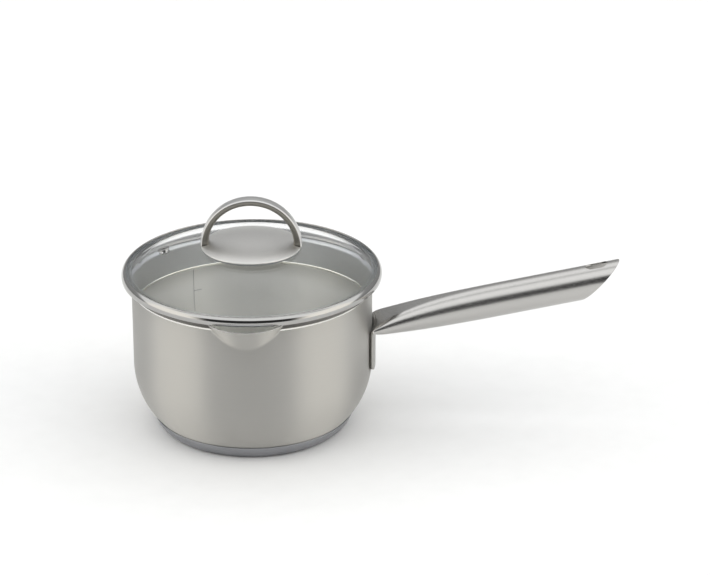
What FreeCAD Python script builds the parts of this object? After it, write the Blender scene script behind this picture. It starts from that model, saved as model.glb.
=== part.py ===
"""Saucepan with a glass lid, as a parametric document.

Millimetres, +Z up.  The origin is the centre of the underside of the base, the pouring spout
points along -Y and the handle along +X.  The lid is drawn in place on the pan.
"""
import FreeCAD, Part
import math
import os
import re
import Sketcher
from FreeCAD import Placement, Rotation, Vector

SIZES = {
    # pan
    "body_radius": 78.6,
    "wall": 0.8,
    "rim_height": 102.8,
    "rim_radius": 83.4,
    "neck_height": 97.4,
    "belly_height": 44.0,
    "seam_height": 9.2,
    "seam_radius": 65.7,
    "floor_height": 5.6,
    "floor_radius": 60.0,
    "heel_radius": 9.0,
    # encapsulated base
    "base_radius": 60.0,
    "cap_sheet": 0.6,
    "cap_edge_radius": 66.4,
    "cap_heel_radius": 14.0,
    "core_slack": 0.1,
    "core_flare": 3.0,
    # pouring spout
    "spout_low": 84.5,
    "spout_sink": 0.3,
    "spout_reach": 94.0,
    "spout_low_radius": 17.0,
    "spout_top_radius": 27.0,
    # handle
    "tube_radius": 11.0,
    "tube_wall": 1.0,
    "tube_rise": 12.4,
    "fold_height": 68.9,
    "fold_thickness": 2.0,
    "crush_length": 52.0,
    "plate_length": 29.0,
    "plate_width": 30.0,
    "plate_corner": 6.0,
    "plate_gap": 0.3,
    "tip_reach": 239.3,
    "end_slant": 30.0,
    "slot_length": 14.8,
    "slot_width": 9.0,
    "slot_from_tip": 15.5,
    "weld_radius": 2.5,
    "weld_pitch": 9.0,
    # lid ring and glass
    "ring_radius": 85.0,
    "ring_low": 103.1,
    "ring_top": 108.6,
    "ring_sheet": 0.4,
    "ring_lip_radius": 82.0,
    "band_radius": 4.7,
    "band_middle": 104.65,
    "skirt_radius": 78.7,
    "skirt_low": 100.1,
    "skirt_step": 2.6,
    "glass_radius": 83.0,
    "glass_low": 104.1,
    "glass_thick": 3.4,
    "dome_radius": 79.6,
    "dome_rise": 17.8,
    "under_inset": 1.5,
    "centre_hole": 3.6,
    "seal_lap": 1.2,
    "seal_side": 1.1,
    "seal_rise": 2.2,
    "seal_lip": 0.4,
    "seal_over": 0.9,
    "seal_cover": 0.55,
    "play": 0.02,
    "slack": 0.05,
    # steam vent
    "vent_reach": 59.0,
    "vent_turn": 170.0,
    "vent_hole": 2.9,
    "vent_bore": 1.5,
    "vent_barrel": 2.2,
    "vent_flange": 4.0,
    "vent_roll": 0.95,
    "vent_edge": 0.6,
    "vent_inset": 0.4,
    "vent_gap": 0.5,
    "vent_tail": 1.25,
    # knob
    "plate_radius": 32.6,
    "plate_low": 123.4,
    "plate_lip": 0.8,
    "plate_rise": 4.4,
    "plate_sheet": 0.8,
    "plate_inner_drop": 0.2,
    "gasket_inside": 29.6,
    "gasket_outside": 32.4,
    "bush_radius": 5.6,
    "bush_flange": 0.8,
    "gasket_low_radius": 8.0,
    "gasket_gap": 0.2,
    "washer_radius": 7.0,
    "washer_thick": 1.1,
    "arch_radius": 33.0,
    "arch_thick": 4.2,
    "arch_depth": 9.0,
    "arch_edge": 1.4,
    "arch_top": 156.6,
    "stud_radius": 2.5,
    "stud_low": 113.5,
    "nut_flats": 8.0,
    "nut_low": 111.0,
    "nut_top": 119.4,
    "nut_shoulder": 2.4,
    "nut_ball_radius": 3.84,
    "nut_play": 0.03,
    "drill_depth": 0.3,
}

doc = FreeCAD.newDocument("saucepan")
sheet = doc.addObject("Spreadsheet::Sheet", "Sizes")
for row, (alias, value) in enumerate(SIZES.items(), start=1):
    sheet.set(f"A{row}", alias)
    sheet.set(f"B{row}", str(value))
    sheet.setAlias(f"B{row}", alias)
doc.recompute()


def linked(expression):
    """The expression with each alias written as a cell of the sheet."""
    return re.sub("[a-z_]+", lambda word: f"Sizes.{word[0]}" if word[0] in SIZES else word[0], expression)


def size(expression):
    """The value of an expression in the sheet's aliases."""
    return float(sheet.evalExpression(linked(expression)))


def new_body(label):
    body = doc.addObject("PartDesign::Body", label)
    body.Label = label
    return body


def new_sketch(body, name, role, height=None):
    """A sketch on one of the body's own origin planes, lifted along its normal."""
    sketch = body.newObject("Sketcher::SketchObject", name)
    plane = next(item for item in body.Origin.OriginFeatures if item.Role == role)
    sketch.AttachmentSupport = [(plane, "")]
    sketch.MapMode = "FlatFace"
    if height:
        sketch.setExpression(".AttachmentOffset.Base.z", linked(height))
    return sketch


def pin_point(sketch, edge, end, x, y):
    """Ties one end of an edge to the place that two expressions give."""
    for kind, axis, value in (("DistanceX", -2, x), ("DistanceY", -1, y)):
        if value == "0":
            sketch.addConstraint(Sketcher.Constraint("PointOnObject", edge, end, axis))
        else:
            number = sketch.addConstraint(Sketcher.Constraint(kind, -1, 1, edge, end, size(value)))
            sketch.setExpression(f"Constraints[{number}]", linked(value))


def draw_outline(sketch, corners):
    """A closed outline.  A corner is (x, y), or (x, y, radius, side) where the edge that leaves it
    is an arc; side is +1 where the arc bulges to the left of the way it is travelled."""
    places = [Vector(size(corner[0]), size(corner[1]), 0) for corner in corners]
    for number, corner in enumerate(corners):
        start = places[number]
        stop = places[(number + 1) % len(places)]
        if len(corner) == 2:
            sketch.addGeometry(Part.LineSegment(start, stop))
            continue
        radius = size(corner[2])
        chord = stop - start
        left = Vector(-chord.y, chord.x, 0).normalize()
        rise = radius - math.sqrt(radius ** 2 - chord.Length ** 2 / 4)
        sketch.addGeometry(Part.Arc(start, (start + stop) / 2 + left * rise * corner[3], stop))
    ends = []
    for number, corner in enumerate(corners):
        flipped = len(corner) > 2 and corner[3] > 0
        ends.append((2, 1) if flipped else (1, 2))
    for number, corner in enumerate(corners):
        before = number - 1 if number else len(corners) - 1
        sketch.addConstraint(
            Sketcher.Constraint("Coincident", before, ends[before][1], number, ends[number][0])
        )
        pin_point(sketch, number, ends[number][0], corner[0], corner[1])
        if len(corner) > 2:
            radius = sketch.addConstraint(Sketcher.Constraint("Radius", number, size(corner[2])))
            sketch.setExpression(f"Constraints[{radius}]", linked(corner[2]))


def turn(body, name, corners, kind="Revolution"):
    """Revolves an outline in the XZ plane about the Z axis."""
    sketch = new_sketch(body, f"{name}_outline", "XZ_Plane")
    draw_outline(sketch, corners)
    feature = body.newObject(f"PartDesign::{kind}", name)
    feature.Profile = sketch
    feature.ReferenceAxis = (sketch, ["V_Axis"])
    feature.Angle = 360
    sketch.Visibility = False
    return feature


def turned_body(label, corners):
    body = new_body(label)
    turn(body, f"{label}_turned", corners)
    return body


def circle_sketch(body, name, height, radius, y):
    """A circle on a level plane, centred on the YZ plane."""
    sketch = new_sketch(body, name, "XY_Plane", height)
    sketch.addGeometry(Part.Circle(Vector(0, size(y), 0), Vector(0, 0, 1), size(radius)))
    number = sketch.addConstraint(Sketcher.Constraint("Radius", 0, size(radius)))
    sketch.setExpression(f"Constraints[{number}]", linked(radius))
    pin_point(sketch, 0, 3, "0", y)
    return sketch


def ring_outline(inner, outer, low, high):
    return [(inner, low), (outer, low), (outer, high), (inner, high)]


# ---------------------------------------------------------------- pan

BELLY = "((belly_height-seam_height)^2+(body_radius-seam_radius)^2)/(2*(body_radius-seam_radius))"
SEAM_IN_Z = "seam_height+wall*0.9"
SEAM_IN_X = f"body_radius-{BELLY}+sqrt(({BELLY}-wall)^2-(belly_height-{SEAM_IN_Z})^2)"
FLARE = "(rim_radius-body_radius)/(rim_height-neck_height)"
RIM_IN = f"rim_radius-wall*sqrt(1+({FLARE})^2)"
NECK_IN = f"rim_height-({RIM_IN}-(body_radius-wall))/({FLARE})"
SPOUT_WALL = "wall*sqrt(1+((spout_reach-body_radius)/(rim_height-spout_low))^2)"


def spout_loft(body, name, kind, thinner):
    """The oblique cone between two level circles that is the outside or inside of the spout."""
    low = circle_sketch(body, f"{name}_low", "spout_low", f"spout_low_radius-{thinner}",
                        "-(body_radius-spout_sink-spout_low_radius)")
    top = circle_sketch(body, f"{name}_top", "rim_height", f"spout_top_radius-{thinner}",
                        "-(spout_reach-spout_top_radius)")
    loft = body.newObject(f"PartDesign::{kind}", name)
    loft.Profile = low
    loft.Sections = [(top, [""])]
    loft.Ruled = True


def make_pan_shell():
    """The drawn shell: belly, straight wall, flared rim and the spout pressed out of the wall."""
    body = new_body("pan_shell")
    turn(body, "shell_outside", [
        ("0", "floor_height"),
        ("floor_radius", "floor_height", "heel_radius", -1),
        ("seam_radius", "seam_height", BELLY, -1),
        ("body_radius", "belly_height"),
        ("body_radius", "neck_height"),
        ("rim_radius", "rim_height"),
        ("0", "rim_height"),
    ])
    spout_loft(body, "spout_outside", "AdditiveLoft", "0")
    doc.recompute()
    whole = body.Shape.Volume
    turn(body, "shell_inside", [
        ("0", "floor_height+wall"),
        ("floor_radius", "floor_height+wall", "heel_radius-wall", -1),
        (SEAM_IN_X, SEAM_IN_Z, f"{BELLY}-wall", -1),
        ("body_radius-wall", "belly_height"),
        ("body_radius-wall", NECK_IN),
        (RIM_IN, "rim_height"),
        (RIM_IN, "rim_height+1"),
        ("0", "rim_height+1"),
    ], "Groove")
    spout_loft(body, "spout_inside", "SubtractiveLoft", f"({SPOUT_WALL})")
    doc.recompute()
    if body.Shape.Volume > 0.2 * whole:
        raise RuntimeError("the pan isn't hollow")
    return body


def make_base():
    """The aluminium core under the floor and the steel cap pressed over it."""
    core = turned_body("base_core", [
        ("0", "cap_sheet"),
        ("base_radius-core_slack", "cap_sheet"),
        ("base_radius+core_flare", "floor_height"),
        ("0", "floor_height"),
    ])
    cap = turned_body("base_cap", [
        ("0", "0"),
        ("base_radius", "0", "cap_heel_radius", -1),
        ("cap_edge_radius", "seam_height"),
        ("cap_edge_radius-cap_sheet", "seam_height", "cap_heel_radius-cap_sheet", 1),
        ("base_radius", "cap_sheet"),
        ("0", "cap_sheet"),
    ])
    return [core, cap]


# ---------------------------------------------------------------- handle

SECTIONS = 9
NEARLY_ROUND = 0.1
LEAST_BORE = 0.5
TOUCH = 0.01


def stadium(flat, height, reach):
    """A closed wire across the tube: two flats joined by half circles, at a reach along X."""
    half = height / 2
    side = flat / 2
    corners = [Vector(reach, -side, half), Vector(reach, side, half),
               Vector(reach, side, -half), Vector(reach, -side, -half)]
    top = Part.LineSegment(corners[0], corners[1]).toShape()
    far = Part.Arc(corners[1], Vector(reach, side + half, 0), corners[2]).toShape()
    low = Part.LineSegment(corners[2], corners[3]).toShape()
    near = Part.Arc(corners[3], Vector(reach, -side - half, 0), corners[0]).toShape()
    return Part.Wire([top, far, low, near])


def crushed_tube(inset, full):
    """The solid inside the tube's outer surface, or inside its bore when inset by the wall.  The
    tube keeps its girth while it is crushed, so its sections are stadiums of the same girth."""
    radius = size("tube_radius")
    crush = size("crush_length")
    thin = size("fold_thickness")
    girth = 2 * math.pi * radius
    round_height = 2 * radius - NEARLY_ROUND
    wires = []
    for number in range(SECTIONS):
        share = number / (SECTIONS - 1)
        reach = crush * share ** 2
        height = thin + (round_height - thin) * share
        flat = (girth - math.pi * height) / 2
        if height > 2 * inset + LEAST_BORE:
            wires.append(stadium(flat, height - 2 * inset, reach))
    straight = Part.Face(wires[-1]).extrude(Vector(full - crush, 0, 0))
    tube = Part.makeLoft(wires, True, False).fuse(straight)
    if inset == 0:
        root = Part.Face(wires[0]).extrude(Vector(-2 * thin, 0, 0))
        tube = tube.fuse(root)
    return tube


def make_handle_tube():
    """One steel tube: crushed flat and folded down as a weld plate at the root, cut off at a slant
    at the tip, with a hanging slot through its top wall."""
    radius = size("tube_radius")
    rise = size("tube_rise")
    fold = Vector(size("body_radius+plate_gap+fold_thickness/2"), 0, size("fold_height"))
    lean = math.radians(rise)
    tip = (size("tip_reach") - fold.x + radius * math.sin(lean)) / math.cos(lean)
    slant = size("end_slant")
    outside = crushed_tube(0, tip + radius)
    tube = outside.cut(crushed_tube(size("tube_wall"), tip + 2 * radius))
    beyond = Part.makePolygon([
        Vector(tip + slant, -2 * radius, 3 * radius), Vector(tip, -2 * radius, radius),
        Vector(tip - slant, -2 * radius, -radius), Vector(tip - 2 * slant, -2 * radius, -3 * radius),
        Vector(tip + 3 * slant, -2 * radius, -3 * radius), Vector(tip + slant, -2 * radius, 3 * radius),
    ])
    tube = tube.cut(Part.Face(beyond).extrude(Vector(0, 4 * radius, 0)))
    half_run = size("(slot_length-slot_width)/2")
    half_wide = size("slot_width/2")
    centre = tip - size("slot_from_tip")
    slot = Part.makeBox(2 * half_run, 2 * half_wide, 2 * radius, Vector(centre - half_run, -half_wide, 0))
    for side in (-1, 1):
        slot = slot.fuse(Part.makeCylinder(half_wide, 2 * radius, Vector(centre + side * half_run, 0, 0)))
    tube = tube.cut(slot)
    tube = tube.transformed(Placement(fold, Rotation(Vector(0, 1, 0), -rise)).toMatrix())
    clear = size("body_radius+plate_gap")
    wall = Part.makeCylinder(clear, fold.z + 2 * radius)
    width = size("plate_width")
    thick = size("fold_thickness")
    length = size("plate_length")
    block = Part.makeBox(2 * radius, width, length, fold - Vector(radius, width / 2, length))
    lower = [edge for edge in block.Edges if edge.BoundBox.ZMax < fold.z - length + TOUCH
             and edge.BoundBox.XLength > radius]
    block = block.makeFillet(size("plate_corner"), lower)
    plate = block.common(Part.makeCylinder(clear + thick, fold.z + radius).cut(wall))
    feature = doc.addObject("Part::Feature", "handle_tube")
    feature.Label = "handle_tube"
    feature.Shape = tube.cut(wall).fuse(plate).removeSplitter()
    feature.Placement = Placement()
    return feature


def make_spot_welds():
    """The weld nuggets that fill the gap between the plate and the wall, one above the other."""
    layers = []
    for name, reach in (("weld_gap_outside", "body_radius+plate_gap"), ("weld_gap_inside", "body_radius")):
        layer = doc.addObject("Part::Cylinder", name)
        layer.setExpression("Radius", linked(reach))
        layer.setExpression("Height", linked("fold_height"))
        layers.append(layer)
    gap = doc.addObject("Part::Cut", "weld_gap")
    gap.Base, gap.Tool = layers
    nuggets = []
    for number in range(3):
        nugget = doc.addObject("Part::Cylinder", f"nugget_{number + 1}")
        nugget.setExpression("Radius", linked("weld_radius"))
        nugget.setExpression("Height", linked("body_radius+2*plate_gap"))
        nugget.Placement.Rotation = Rotation(Vector(0, 1, 0), 90)
        drop = f"fold_height-plate_length/2+({number}-1)*weld_pitch"
        nugget.setExpression(".Placement.Base.z", linked(drop))
        nuggets.append(nugget)
    rods = doc.addObject("Part::Compound", "weld_rods")
    rods.Links = nuggets
    group = doc.addObject("Part::Common", "handle_spot_welds")
    group.Label = "handle_spot_welds"
    group.Base = gap
    group.Tool = rods
    return group


# ---------------------------------------------------------------- lid

DOME_LOW = "glass_low+glass_thick"
DOME = "(dome_radius^2+dome_rise^2)/(2*dome_rise)"
UNDER_RADIUS = "dome_radius-under_inset"


def dome_top(radius):
    """The height of the glass's upper face at a radius."""
    return f"({DOME_LOW}+dome_rise-{DOME}+sqrt(({DOME})^2-({radius})^2))"


def vent_place():
    """The frame of the steam vent: its Z is the glass's outward normal there."""
    bearing = size("vent_turn")
    reach = size("vent_reach")
    lean = math.degrees(math.asin(reach / size(DOME)))
    turned = math.radians(bearing)
    foot = Vector(reach * math.cos(turned), reach * math.sin(turned), size(dome_top("vent_reach")))
    around = Rotation(Vector(0, 0, 1), bearing)
    return Placement(foot, around.multiply(Rotation(Vector(0, 1, 0), lean)))


def make_glass():
    """The domed glass with its flat edge, its centre hole and the hole for the vent."""
    blank = turned_body("glass_blank", [
        ("centre_hole", f"{DOME_LOW}-glass_thick+dome_rise"),
        ("centre_hole", dome_top("centre_hole"), DOME, 1),
        ("dome_radius", DOME_LOW),
        ("glass_radius", DOME_LOW),
        ("glass_radius", "glass_low"),
        (UNDER_RADIUS, "glass_low", f"{DOME}-glass_thick", -1),
    ])
    drill = doc.addObject("Part::Cylinder", "vent_drill")
    drill.setExpression("Radius", linked("vent_hole"))
    drill.setExpression("Height", linked("glass_thick*4"))
    place = vent_place()
    drill.Placement = place.multiply(Placement(Vector(0, 0, -size("glass_thick*2")), Rotation()))
    glass = doc.addObject("Part::Cut", "lid_glass")
    glass.Label = "lid_glass"
    glass.Base = blank
    glass.Tool = drill
    return glass


def band_reach(height, inset):
    """The radius of the ring's rounded outer band at a height, on its outside or inset by the sheet."""
    return f"ring_radius-band_radius+sqrt((band_radius-{inset})^2-({height}-band_middle)^2)"


def make_rim():
    """The steel channel rolled round the glass, with its locating skirt, and the seal inside it."""
    ring = turned_body("lid_rim_ring", [
        ("skirt_radius", "skirt_low"),
        ("skirt_radius+ring_sheet", "skirt_low"),
        ("skirt_radius+skirt_step", "ring_low"),
        (band_reach("ring_low", "0"), "ring_low", "band_radius", -1),
        (band_reach("ring_top", "0"), "ring_top"),
        ("ring_lip_radius", "ring_top"),
        ("ring_lip_radius", "ring_top-ring_sheet"),
        (band_reach("ring_top-ring_sheet", "ring_sheet"), "ring_top-ring_sheet", "band_radius-ring_sheet", 1),
        (band_reach("ring_low+ring_sheet", "ring_sheet"), "ring_low+ring_sheet"),
        ("skirt_radius+skirt_step-ring_sheet", "ring_low+ring_sheet"),
    ])
    seal = turned_body("glass_edge_seal", [
        ("glass_radius-seal_lap", "ring_low+ring_sheet+slack"),
        ("glass_radius+seal_side", "ring_low+ring_sheet+slack"),
        ("glass_radius+seal_side", "glass_low+seal_rise"),
        ("glass_radius+seal_lip", DOME_LOW),
        ("glass_radius-seal_lip", f"{DOME_LOW}+seal_cover"),
        ("glass_radius-seal_over", f"{DOME_LOW}+seal_cover"),
        ("glass_radius-seal_over", f"{DOME_LOW}+play"),
        ("glass_radius+play", f"{DOME_LOW}+play"),
        ("glass_radius+play", "glass_low-play"),
        ("glass_radius-seal_lap", "glass_low-play"),
    ])
    return [ring, seal]


def make_vent():
    """The steam vent: a rolled steel eyelet in a silicone sleeve."""
    eyelet = turned_body("vent_eyelet", [
        ("vent_bore", "-glass_thick-vent_tail"),
        ("vent_flange-vent_inset", "-glass_thick-vent_tail"),
        ("vent_flange-vent_inset", "-glass_thick-vent_gap"),
        ("vent_barrel", "-glass_thick-vent_gap"),
        ("vent_barrel", "slack"),
        ("vent_flange", "slack"),
        ("vent_flange", "vent_roll-vent_edge", "vent_edge", 1),
        ("vent_flange-vent_edge", "vent_roll"),
        ("vent_bore+vent_edge", "vent_roll", "vent_edge", 1),
        ("vent_bore", "vent_roll-vent_edge"),
    ])
    sleeve = turned_body("vent_sleeve", ring_outline(
        "vent_barrel+slack", "vent_hole-play", "-glass_thick", "0"))
    for piece in (eyelet, sleeve):
        piece.Placement = vent_place()
    return [eyelet, sleeve]


PLATE_EDGE = "plate_low+plate_lip"
PLATE_DOME = "(plate_radius^2+plate_rise^2)/(2*plate_rise)"
PLATE_TOP = f"{PLATE_EDGE}+plate_rise"
INNER_RADIUS = "plate_radius-plate_sheet"
INNER_RISE = "(plate_rise-plate_inner_drop)"
INNER_DOME = f"(({INNER_RADIUS})^2+{INNER_RISE}^2)/(2*{INNER_RISE})"


def make_knob_plate():
    """The domed foot of the knob, pressed from sheet."""
    return turned_body("knob_plate", [
        (INNER_RADIUS, "plate_low"),
        ("plate_radius", "plate_low"),
        ("plate_radius", PLATE_EDGE, PLATE_DOME, -1),
        ("0", PLATE_TOP),
        ("0", f"{PLATE_TOP}-plate_sheet", INNER_DOME, 1),
        (INNER_RADIUS, f"{PLATE_EDGE}-plate_sheet+plate_inner_drop"),
    ])


def make_knob_arch():
    """The bow of the knob: a flat bar with rounded edges, bent to a half circle over the plate."""
    body = new_body("knob_arch")
    inner = "arch_radius-arch_thick"
    wide = "arch_depth/2"
    soft = "arch_edge"
    section = new_sketch(body, "bar_section", "XY_Plane", "arch_top-arch_radius")
    draw_outline(section, [
        (f"{inner}+{soft}", f"-{wide}"),
        (f"arch_radius-{soft}", f"-{wide}", soft, -1),
        ("arch_radius", f"-{wide}+{soft}"),
        ("arch_radius", f"{wide}-{soft}", soft, -1),
        (f"arch_radius-{soft}", wide),
        (f"{inner}+{soft}", wide, soft, -1),
        (inner, f"{wide}-{soft}"),
        (inner, f"-{wide}+{soft}", soft, -1),
    ])
    bow = body.newObject("PartDesign::Revolution", "bow")
    bow.Profile = section
    bow.ReferenceAxis = (section, ["V_Axis"])
    bow.Angle = 180
    bow.Reversed = True
    doc.recompute()
    if body.Shape.BoundBox.ZMax < size("arch_top") - 1:
        bow.Reversed = False
    doc.recompute()
    turn(body, "foot_trim", [
        ("0", "plate_low-arch_thick"),
        ("plate_radius+arch_thick", "plate_low-arch_thick"),
        ("plate_radius+arch_thick", PLATE_EDGE),
        ("plate_radius", PLATE_EDGE, PLATE_DOME, -1),
        ("0", PLATE_TOP),
    ], "Groove")
    return body


def make_knob_fixing():
    """What clamps the knob to the glass: gasket, bush, lower gasket, washer, stud and cap nut."""
    under = f"{dome_top('0')}-glass_thick"
    gasket = turned_body("knob_gasket_upper", [
        ("gasket_inside", f"{dome_top('gasket_inside')}+play"),
        ("gasket_outside", f"{dome_top('gasket_outside')}+play"),
        ("gasket_outside", "plate_low-play"),
        ("gasket_inside", "plate_low-play"),
    ])
    bush = turned_body("glass_bush", [
        ("stud_radius+slack", f"{under}+slack"),
        ("centre_hole-slack", f"{under}+slack"),
        ("centre_hole-slack", dome_top("0")),
        ("bush_radius", dome_top("0")),
        ("bush_radius", f"{dome_top('0')}+bush_flange"),
        ("stud_radius+slack", f"{dome_top('0')}+bush_flange"),
    ])
    lower = turned_body("knob_gasket_lower", ring_outline(
        "stud_radius+slack", "gasket_low_radius", "nut_top+washer_thick+slack", f"{under}-gasket_gap"))
    washer = turned_body("knob_washer", ring_outline(
        "stud_radius+slack", "washer_radius", "nut_top+play", "nut_top+washer_thick"))
    stud = doc.addObject("Part::Cylinder", "knob_stud")
    stud.Label = "knob_stud"
    stud.setExpression("Radius", linked("stud_radius"))
    stud.setExpression("Height", linked(f"{PLATE_TOP}-plate_sheet-slack-stud_low"))
    stud.setExpression(".Placement.Base.z", linked("stud_low"))
    return [gasket, bush, lower, washer, stud, make_nut()]


def make_nut():
    """The cap nut: a hexagon with a domed end, drilled from above for the stud."""
    hexagon = doc.addObject("Part::Prism", "nut_hexagon")
    hexagon.Polygon = 6
    hexagon.setExpression("Circumradius", linked("nut_flats/sqrt(3)"))
    hexagon.setExpression("Height", linked("nut_top-nut_low-nut_shoulder"))
    hexagon.setExpression(".Placement.Base.z", linked("nut_low+nut_shoulder"))
    dome = doc.addObject("Part::Sphere", "nut_dome")
    dome.setExpression("Radius", linked("nut_ball_radius"))
    dome.setExpression(".Placement.Base.z", linked("nut_low+nut_ball_radius"))
    whole = doc.addObject("Part::Fuse", "nut_blank")
    whole.Base = hexagon
    whole.Tool = dome
    drill = doc.addObject("Part::Cylinder", "nut_drill")
    drill.setExpression("Radius", linked("stud_radius+nut_play"))
    drill.setExpression("Height", linked("2*(nut_top-stud_low)"))
    drill.setExpression(".Placement.Base.z", linked("stud_low-drill_depth"))
    nut = doc.addObject("Part::Cut", "knob_nut")
    nut.Label = "knob_nut"
    nut.Base = whole
    nut.Tool = drill
    return nut


# ---------------------------------------------------------------- document and files

pieces = [make_pan_shell()]
pieces += make_base()
pieces += [make_handle_tube(), make_spot_welds()]
pieces += [make_glass()]
pieces += make_rim()
pieces += make_vent()
pieces += [make_knob_plate(), make_knob_arch()]
pieces += make_knob_fixing()
doc.recompute()

for item in doc.Objects:
    if "Invalid" in item.State or "Error" in item.State:
        raise RuntimeError(f"{item.Label} is {item.State}")
for piece in pieces:
    if piece.Shape.isNull() or not piece.Shape.isValid():
        raise RuntimeError(f"{piece.Label} has no valid shape")

os.makedirs("parts", exist_ok=True)
for piece in pieces:
    piece.Shape.exportStep(f"parts/{piece.Label}.step")
    box = piece.Shape.BoundBox
    print(f"{piece.Label:20s} solids {len(piece.Shape.Solids)}  volume {piece.Shape.Volume:10.1f}"
          f"  x {box.XMin:.1f} {box.XMax:.1f}  y {box.YMin:.1f} {box.YMax:.1f}"
          f"  z {box.ZMin:.1f} {box.ZMax:.1f}")
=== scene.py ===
"""Saucepan with a glass lid: the looks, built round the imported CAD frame.  Metres, +Z up."""

import math

import bmesh
import bpy
from mathutils import Matrix, Vector


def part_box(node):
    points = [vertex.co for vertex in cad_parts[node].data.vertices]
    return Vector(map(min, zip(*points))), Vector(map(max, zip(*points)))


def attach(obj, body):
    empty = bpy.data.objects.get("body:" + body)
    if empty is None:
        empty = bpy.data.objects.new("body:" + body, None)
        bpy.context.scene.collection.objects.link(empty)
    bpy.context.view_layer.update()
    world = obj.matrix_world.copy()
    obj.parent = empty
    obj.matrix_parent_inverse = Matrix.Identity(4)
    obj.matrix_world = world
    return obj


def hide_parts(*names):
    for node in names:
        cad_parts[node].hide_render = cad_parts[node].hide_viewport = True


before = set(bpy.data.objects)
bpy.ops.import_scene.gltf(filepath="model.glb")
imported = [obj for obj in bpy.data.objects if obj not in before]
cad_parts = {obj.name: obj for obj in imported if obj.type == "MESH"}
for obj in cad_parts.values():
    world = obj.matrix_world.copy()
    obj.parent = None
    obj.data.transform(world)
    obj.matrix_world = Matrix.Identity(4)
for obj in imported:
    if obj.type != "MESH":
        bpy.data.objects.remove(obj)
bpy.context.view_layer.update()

MM = 0.001
TAU = 2 * math.pi

# ---------------------------------------------------------------- places read from the frame

SHELL_LOW, SHELL_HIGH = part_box("pan_shell")
CAP_LOW, CAP_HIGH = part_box("base_cap")
TUBE_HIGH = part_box("handle_tube")[1]
RING_LOW, RING_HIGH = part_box("lid_rim_ring")
GLASS_LOW, GLASS_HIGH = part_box("lid_glass")
PLATE_LOW, PLATE_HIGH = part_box("knob_plate")
ARCH_LOW, ARCH_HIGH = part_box("knob_arch")
GASKET_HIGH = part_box("knob_gasket_upper")[1]

# pan
RIM_Z = SHELL_HIGH.z
RIM_R = SHELL_HIGH.y
BODY_R = 78.6 * MM
WALL = 0.8 * MM
NECK_Z = 97.4 * MM
NECK_BEND = 3 * MM
# Heights where the neck's painted highlight line and painted shade band begin.
NECK_HIGHLIGHT_Z = NECK_Z - 0.5 * MM
NECK_SHADE_Z = NECK_Z + 0.7 * MM
RIM_SOFT = 0.3 * MM
BELLY_Z = 44.0 * MM
SEAM_R = 65.7 * MM
SEAM_Z = CAP_HIGH.z
SUNK_Z = SEAM_Z + 8 * MM
FLOOR_Z = SHELL_LOW.z
FLOOR_R = 60.0 * MM
LEDGE_Z = 80.3 * MM
LEDGE_TOP_Z = LEDGE_Z + 0.6 * MM
SPOUT_LOW_Z = 84.5 * MM
SPOUT_FROM_Z = SPOUT_LOW_Z - 2 * MM
SPOUT_LOW_R = 17.0 * MM
SPOUT_TOP_R = 27.0 * MM
SPOUT_REACH = 94.0 * MM
CAP_EDGE_R = CAP_HIGH.x
CAP_FOOT_R = 60.0 * MM
CAP_FLAT_R = CAP_FOOT_R - 8 * MM
CAP_HEEL = 14.0 * MM
CAP_SHEET = 0.6 * MM
HEEL = 9.0 * MM
SEAM_STEP = 0.8 * MM
BEAD = 0.4 * MM
GROOVE = 0.35 * MM
SPOUT_SOFT = 0.9 * MM
PAN_SEGMENTS = 720
LITRE = 0.001

# handle
TUBE_R = 11.0 * MM
TUBE_WALL = 1.0 * MM
TUBE_RISE = math.radians(12.4)
FOLD = Vector((BODY_R + 1.3 * MM, 0, 68.9 * MM))
FOLD_THICK = 2.0 * MM
CRUSH = 52.0 * MM
ROUND_FROM = CRUSH * 1.3 ** 2
STRAP_WIDTH = 30.0 * MM
PLATE_LENGTH = 29.0 * MM
STRAP_CORNER = 6.0 * MM
END_SLANT = 30.0 * MM
SLOT_LENGTH = 14.8 * MM
SLOT_WIDTH = 9.0 * MM
SLOT_FROM_TIP = 15.5 * MM
TIP = (TUBE_HIGH.x - FOLD.x + TUBE_R * math.sin(TUBE_RISE)) / math.cos(TUBE_RISE)

# lid
RING_R = RING_HIGH.x
RING_SHEET = 0.4 * MM
RING_TOP = RING_HIGH.z
RING_LOW_Z = 103.1 * MM
SKIRT_R = 78.7 * MM
SKIRT_LOW = RING_LOW.z
BAND_R = 4.7 * MM
BAND_Z = 104.65 * MM
LIP_R = 82.0 * MM
LIP_DEPTH = 0.75 * MM
GLASS_R = GLASS_HIGH.x
GLASS_THICK = 3.4 * MM
FLANGE_TOP = GLASS_LOW.z + GLASS_THICK
GLASS_BEND = 12 * MM
DOME_EDGE_R = 79.6 * MM
DOME_RISE = 17.8 * MM
DOME_R = (DOME_EDGE_R ** 2 + DOME_RISE ** 2) / (2 * DOME_RISE)
GLASS_TOP = FLANGE_TOP + DOME_RISE
HOLE_R = 3.6 * MM
VENT_REACH = 59.0 * MM
VENT_BEARING = math.radians(170)
VENT_HOLE = 2.9 * MM

# knob
KNOB_SHEET = 0.8 * MM
BOW_THICK = 4.2 * MM
BOW_FOOT_EXTRA = 1.2 * MM
BOW_NARROWING = 0.6 * MM
BOW_SOFT = 1.5 * MM
BOW_CROWN = 0.25 * MM

SHARP_ANGLE = 32

# ---------------------------------------------------------------- mesh helpers


def blend_max(first, second, soft):
    """The larger of two values, with a soft change from one to the other."""
    near = max(soft - abs(first - second), 0) / soft
    return max(first, second) + near * near * soft / 4


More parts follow.
